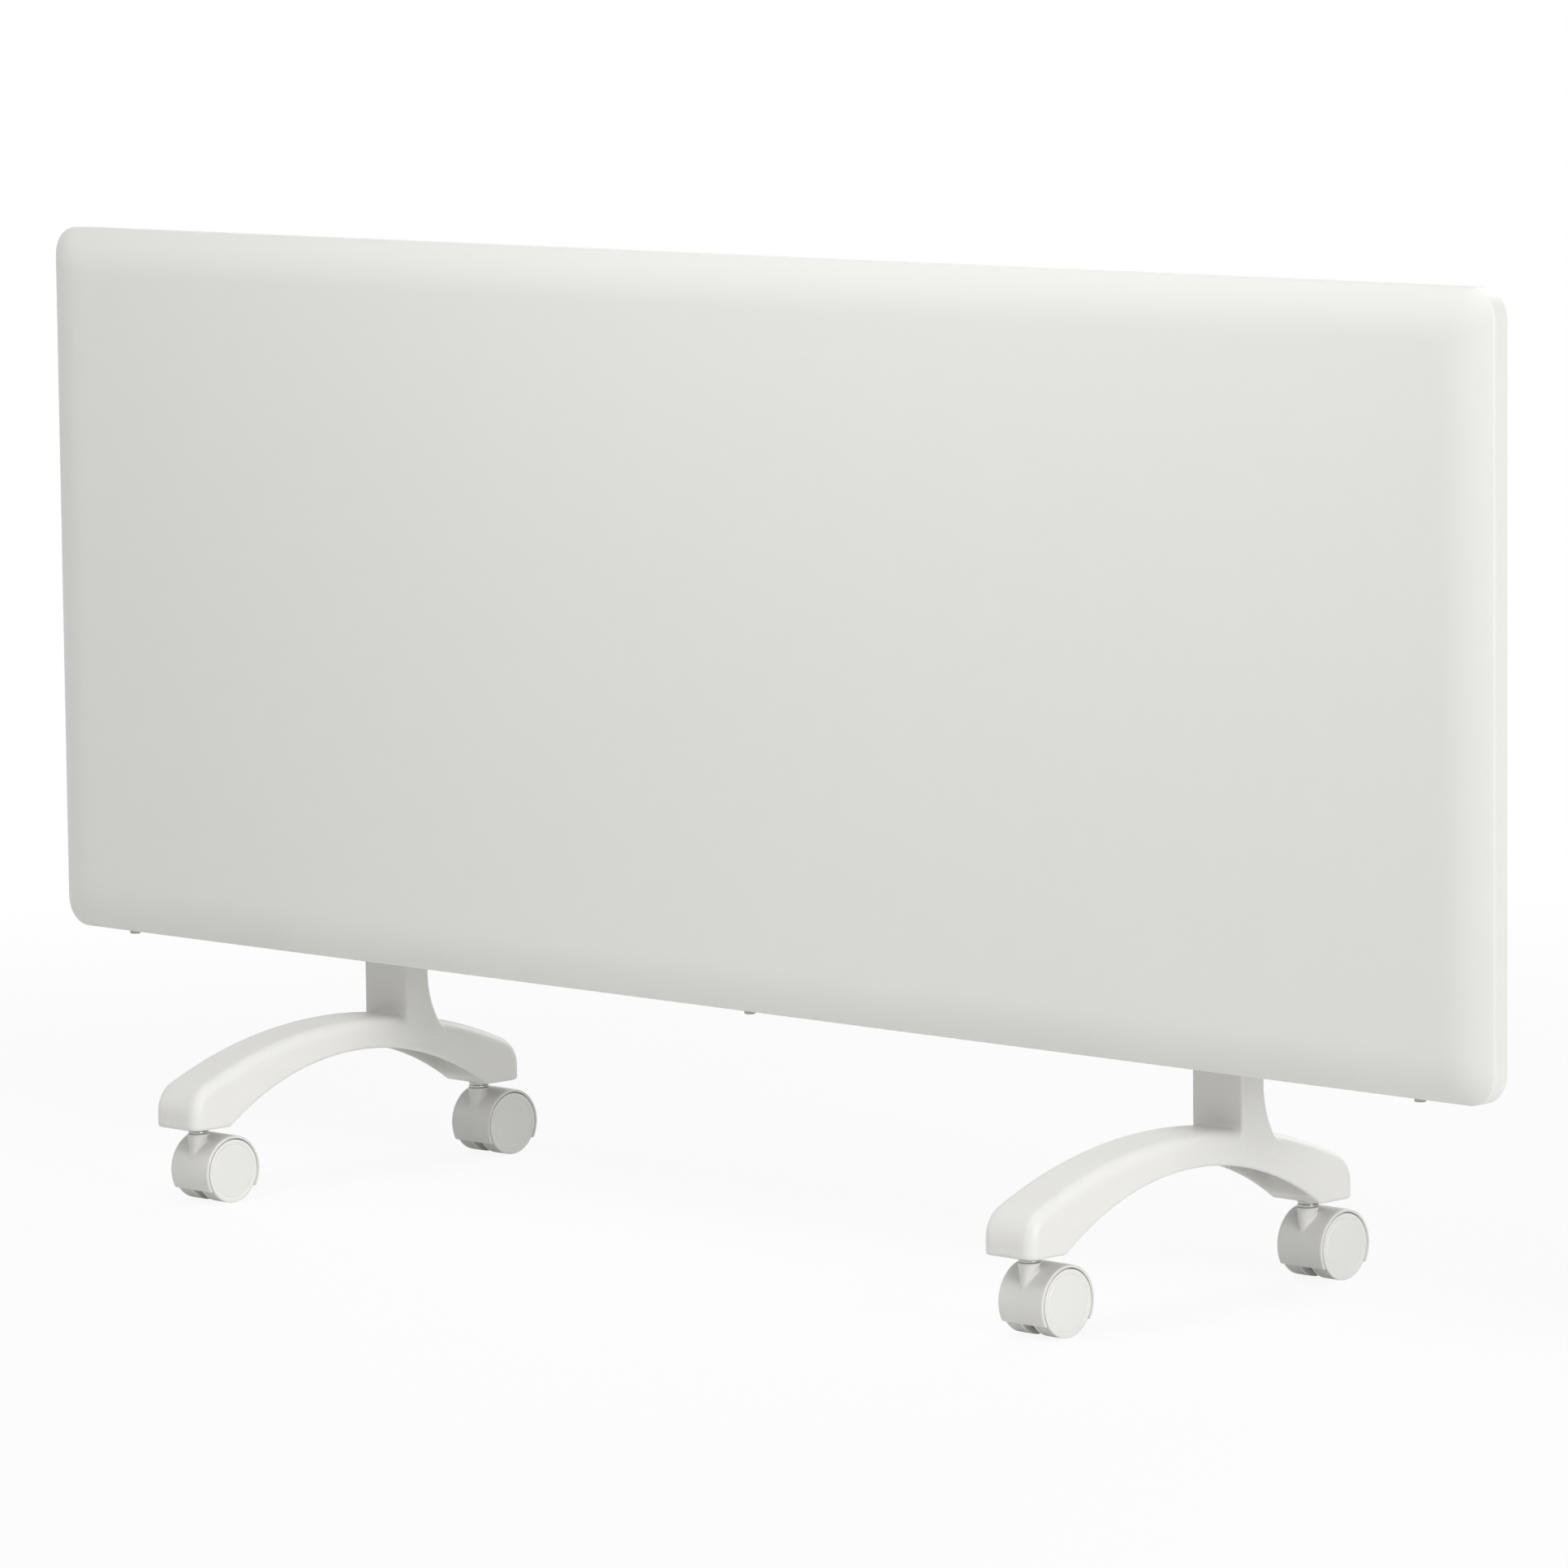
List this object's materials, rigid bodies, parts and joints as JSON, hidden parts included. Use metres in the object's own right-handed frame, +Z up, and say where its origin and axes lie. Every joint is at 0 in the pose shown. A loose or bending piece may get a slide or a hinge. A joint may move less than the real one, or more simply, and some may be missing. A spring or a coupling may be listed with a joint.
{
  "type": "panel convector heater",
  "caption": "Free-standing electric panel convector heater: smooth pressed front, slim rear casing with outlet grille and side controls, on arched feet with twin-wheel castors.",
  "frame": {"origin": "middle of the footprint, on the floor under the wheels", "axes": "+Z up, +X along the long side, -Y the front of the panel"},
  "size_m": [1.05, 0.2634, 0.5257],
  "materials": {
    "cover_paint": "satin powder coat",
    "casing_paint": "satin powder coat",
    "zinc_sheet": "zinc coated",
    "zinc_steel": "zinc plated",
    "socket_steel": "plain",
    "screw_steel": "zinc plated",
    "rivet_aluminium": "plain",
    "fin_aluminium": "plain extruded",
    "sheath_steel": "heat tinted",
    "ceramic": "unglazed ceramic",
    "cutout_phenolic": "moulded",
    "grille_plastic": "moulded satin",
    "control_plastic": "moulded satin",
    "knob_plastic": "moulded satin",
    "thermostat_body": "moulded",
    "switch_plastic": "gloss",
    "rocker_plastic": "gloss",
    "copper": "drawn copper",
    "terminal_nylon": "moulded",
    "gland_nylon": "moulded",
    "brass_stud": "plain",
    "brown_lead": "silicone sleeve",
    "white_lead": "silicone sleeve",
    "blue_lead": "silicone sleeve",
    "earth_lead": "silicone sleeve",
    "leg_plastic": "fine moulded satin",
    "hood_plastic": "moulded satin",
    "wheel_plastic": "moulded satin",
    "stem_steel": "bright zinc"
  },
  "bodies": {
    "heater": {"front_cover": "cover_paint", "cover_screws": "screw_steel", "cover_nuts": "zinc_steel", "backing_plate": "zinc_sheet", "rear_casing": "casing_paint", "casing_rivets": "rivet_aluminium", "outlet_grille": "grille_plastic", "element_fins": "fin_aluminium", "element_sheath": "sheath_steel", "element_bush_left": "ceramic", "element_bush_right": "ceramic", "element_bracket_left": "zinc_sheet", "element_bracket_right": "zinc_sheet", "bracket_rivets": "rivet_aluminium", "partition": "zinc_sheet", "overheat_cutout": "cutout_phenolic", "control_panel": "control_plastic", "thermostat": "thermostat_body", "sensor_bulb": "copper", "switch_body": "switch_plastic", "terminal_block": "terminal_nylon", "cable_gland": "gland_nylon", "earth_stud": "brass_stud", "live_lead": "brown_lead", "switch_lead": "white_lead", "heater_lead": "white_lead", "cutout_lead": "white_lead", "neutral_lead": "blue_lead", "earth_lead": "earth_lead", "foot_plate_left": "zinc_steel", "foot_plate_right": "zinc_steel", "left_leg": "leg_plastic", "right_leg": "leg_plastic", "foot_screws": "zinc_steel", "castor_sockets": "socket_steel"},
    "front_left_castor": {"front_left_castor_hood": "hood_plastic", "front_left_castor_stem": "stem_steel", "front_left_castor_axle": "zinc_steel"},
    "front_left_castor_wheel_left": {"front_left_castor_wheel_left": "wheel_plastic"},
    "front_left_castor_wheel_right": {"front_left_castor_wheel_right": "wheel_plastic"},
    "front_right_castor": {"front_right_castor_hood": "hood_plastic", "front_right_castor_stem": "stem_steel", "front_right_castor_axle": "zinc_steel"},
    "front_right_castor_wheel_left": {"front_right_castor_wheel_left": "wheel_plastic"},
    "front_right_castor_wheel_right": {"front_right_castor_wheel_right": "wheel_plastic"},
    "rear_left_castor": {"rear_left_castor_hood": "hood_plastic", "rear_left_castor_stem": "stem_steel", "rear_left_castor_axle": "zinc_steel"},
    "rear_left_castor_wheel_left": {"rear_left_castor_wheel_left": "wheel_plastic"},
    "rear_left_castor_wheel_right": {"rear_left_castor_wheel_right": "wheel_plastic"},
    "rear_right_castor": {"rear_right_castor_hood": "hood_plastic", "rear_right_castor_stem": "stem_steel", "rear_right_castor_axle": "zinc_steel"},
    "rear_right_castor_wheel_left": {"rear_right_castor_wheel_left": "wheel_plastic"},
    "rear_right_castor_wheel_right": {"rear_right_castor_wheel_right": "wheel_plastic"},
    "thermostat_knob": {"thermostat_knob": "knob_plastic", "thermostat_spindle": "zinc_steel"},
    "power_rocker": {"power_rocker": "rocker_plastic"}
  },
  "joints": [
    {"name": "front_left_castor_swivel", "type": "hinge", "parent": "heater", "child": "front_left_castor", "pos_m": [-0.308, -0.1139, 0.0427], "axis": [0, 0, 1], "continuous": true},
    {"name": "front_left_castor_wheel_left_spin", "type": "hinge", "parent": "front_left_castor", "child": "front_left_castor_wheel_left", "pos_m": [-0.308, -0.1019, 0.0175], "axis": [1, 0, 0], "continuous": true},
    {"name": "front_left_castor_wheel_right_spin", "type": "hinge", "parent": "front_left_castor", "child": "front_left_castor_wheel_right", "pos_m": [-0.308, -0.1019, 0.0175], "axis": [1, 0, 0], "continuous": true},
    {"name": "front_right_castor_swivel", "type": "hinge", "parent": "heater", "child": "front_right_castor", "pos_m": [0.308, -0.1139, 0.0427], "axis": [0, 0, 1], "continuous": true},
    {"name": "front_right_castor_wheel_left_spin", "type": "hinge", "parent": "front_right_castor", "child": "front_right_castor_wheel_left", "pos_m": [0.308, -0.1019, 0.0175], "axis": [1, 0, 0], "continuous": true},
    {"name": "front_right_castor_wheel_right_spin", "type": "hinge", "parent": "front_right_castor", "child": "front_right_castor_wheel_right", "pos_m": [0.308, -0.1019, 0.0175], "axis": [1, 0, 0], "continuous": true},
    {"name": "rear_left_castor_swivel", "type": "hinge", "parent": "heater", "child": "rear_left_castor", "pos_m": [-0.308, 0.1001, 0.0427], "axis": [0, 0, 1], "continuous": true},
    {"name": "rear_left_castor_wheel_left_spin", "type": "hinge", "parent": "rear_left_castor", "child": "rear_left_castor_wheel_left", "pos_m": [-0.308, 0.1121, 0.0175], "axis": [1, 0, 0], "continuous": true},
    {"name": "rear_left_castor_wheel_right_spin", "type": "hinge", "parent": "rear_left_castor", "child": "rear_left_castor_wheel_right", "pos_m": [-0.308, 0.1121, 0.0175], "axis": [1, 0, 0], "continuous": true},
    {"name": "rear_right_castor_swivel", "type": "hinge", "parent": "heater", "child": "rear_right_castor", "pos_m": [0.308, 0.1001, 0.0427], "axis": [0, 0, 1], "continuous": true},
    {"name": "rear_right_castor_wheel_left_spin", "type": "hinge", "parent": "rear_right_castor", "child": "rear_right_castor_wheel_left", "pos_m": [0.308, 0.1121, 0.0175], "axis": [1, 0, 0], "continuous": true},
    {"name": "rear_right_castor_wheel_right_spin", "type": "hinge", "parent": "rear_right_castor", "child": "rear_right_castor_wheel_right", "pos_m": [0.308, 0.1121, 0.0175], "axis": [1, 0, 0], "continuous": true},
    {"name": "thermostat_turn", "type": "hinge", "parent": "heater", "child": "thermostat_knob", "pos_m": [0.4554, 0.0228, 0.4767], "axis": [-1, 0, 0], "range_deg": [0, 270]},
    {"name": "rocker_tilt", "type": "hinge", "parent": "heater", "child": "power_rocker", "pos_m": [0.4554, 0.0228, 0.4267], "axis": [0, -1, 0], "range_deg": [0, 16]}
  ]
}
